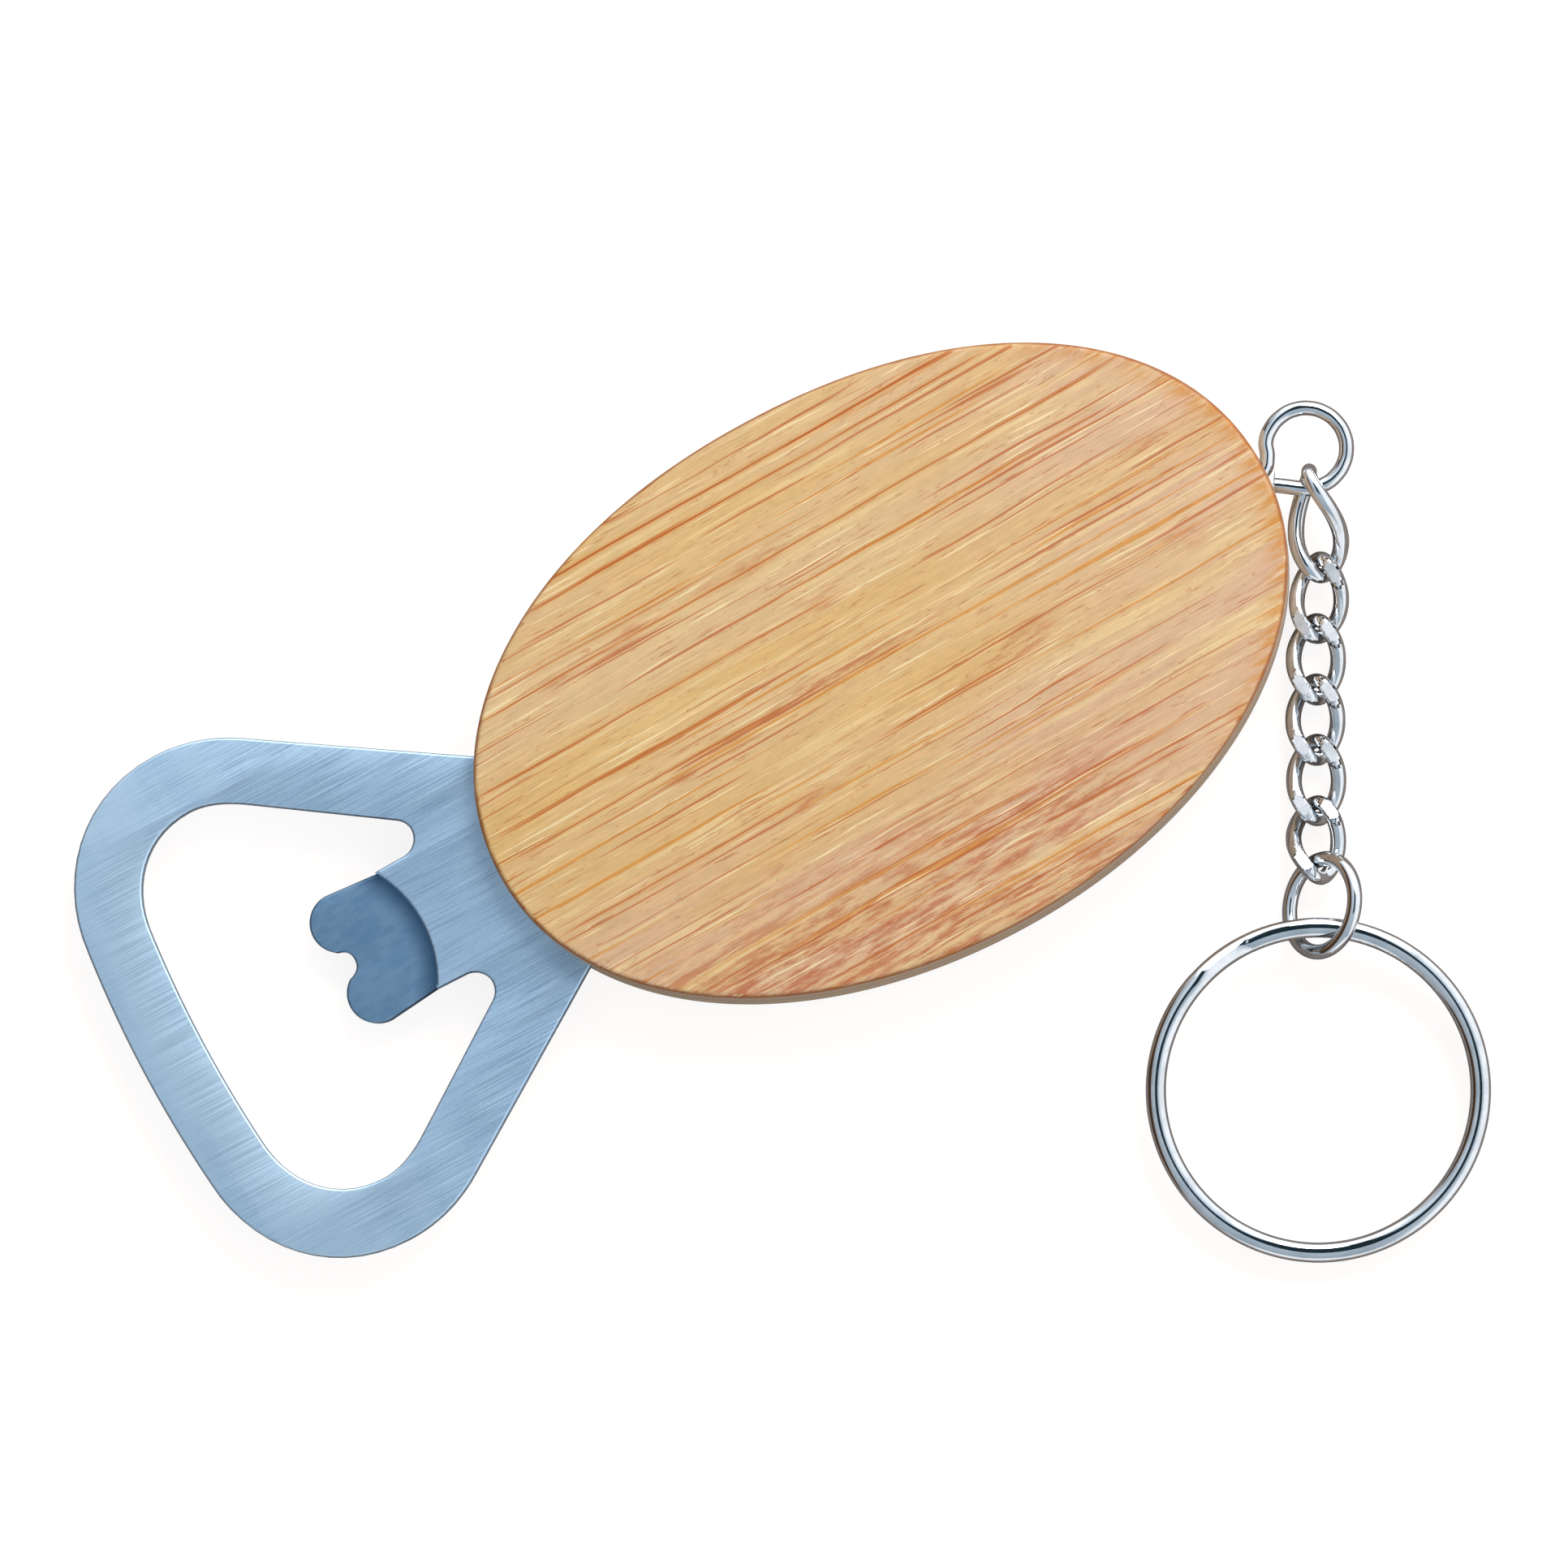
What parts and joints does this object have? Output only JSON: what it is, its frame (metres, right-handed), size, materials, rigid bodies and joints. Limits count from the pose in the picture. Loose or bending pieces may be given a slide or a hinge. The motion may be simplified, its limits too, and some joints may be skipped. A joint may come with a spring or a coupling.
{
  "type": "keychain bottle opener",
  "caption": "Bottle opener with a pressed steel cap-lifting plate glued between oval bamboo covers, and a curb chain with a split key ring on a screw eye.",
  "frame": {"origin": "middle of the rear cover's flat outer face", "axes": "+X along the opener from the lifting head to the screw eye, +Y across it, +Z out of the front cover"},
  "size_m": [0.0993, 0.0747, 0.0065],
  "materials": {
    "bamboo": "satin, sanded smooth and oiled",
    "dowel_wood": "plain, unfinished",
    "brushed_steel": "brushed along its length",
    "nickel": "polished plating"
  },
  "bodies": {
    "opener": {"rear_cover": "bamboo", "front_cover": "bamboo", "opener_plate": "brushed_steel", "dowel_1": "dowel_wood", "dowel_2": "dowel_wood", "screw_eye": "nickel"},
    "connector": {"connector_link": "nickel"},
    "curb_1": {"curb_link_1": "nickel"},
    "curb_2": {"curb_link_2": "nickel"},
    "curb_3": {"curb_link_3": "nickel"},
    "curb_4": {"curb_link_4": "nickel"},
    "curb_5": {"curb_link_5": "nickel"},
    "jump": {"jump_ring": "nickel"},
    "key_ring": {"split_ring": "nickel"}
  },
  "joints": [
    {"name": "connector_swing", "type": "hinge", "parent": "opener", "child": "connector", "pos_m": [0.03485, 0, 0.00325], "axis": [0, 0, 1], "range_deg": [0, 200]},
    {"name": "curb_1_fold", "type": "hinge", "parent": "connector", "child": "curb_1", "pos_m": [0.03189, -0.00805, 0.00162], "axis": [0.8821, -0.471, 0], "range_deg": [-20, 18]},
    {"name": "curb_2_swing", "type": "hinge", "parent": "curb_1", "child": "curb_2", "pos_m": [0.02936, -0.01175, 0.00108], "axis": [0, 0, -1], "range_deg": [-12, 14]},
    {"name": "curb_3_fold", "type": "hinge", "parent": "curb_2", "child": "curb_3", "pos_m": [0.02721, -0.01564, 0.0011], "axis": [-0.8821, 0.471, 0], "range_deg": [-28, 40]},
    {"name": "curb_4_swing", "type": "hinge", "parent": "curb_3", "child": "curb_4", "pos_m": [0.02513, -0.01953, 0.0011], "axis": [0, 0, -1], "range_deg": [-23, 22]},
    {"name": "curb_5_fold", "type": "hinge", "parent": "curb_4", "child": "curb_5", "pos_m": [0.02297, -0.02344, 0.00105], "axis": [0.8821, -0.471, 0], "range_deg": [-24, 20]},
    {"name": "jump_ring_swing", "type": "hinge", "parent": "curb_5", "child": "jump", "pos_m": [0.02077, -0.02786, 0.00237], "axis": [0.567, -0.3028, -0.766], "range_deg": [-65, 50]},
    {"name": "key_ring_fold", "type": "hinge", "parent": "jump", "child": "key_ring", "pos_m": [0.01941, -0.03115, 0.0032], "axis": [0.8821, -0.471, 0], "range_deg": [-80, 110]}
  ]
}
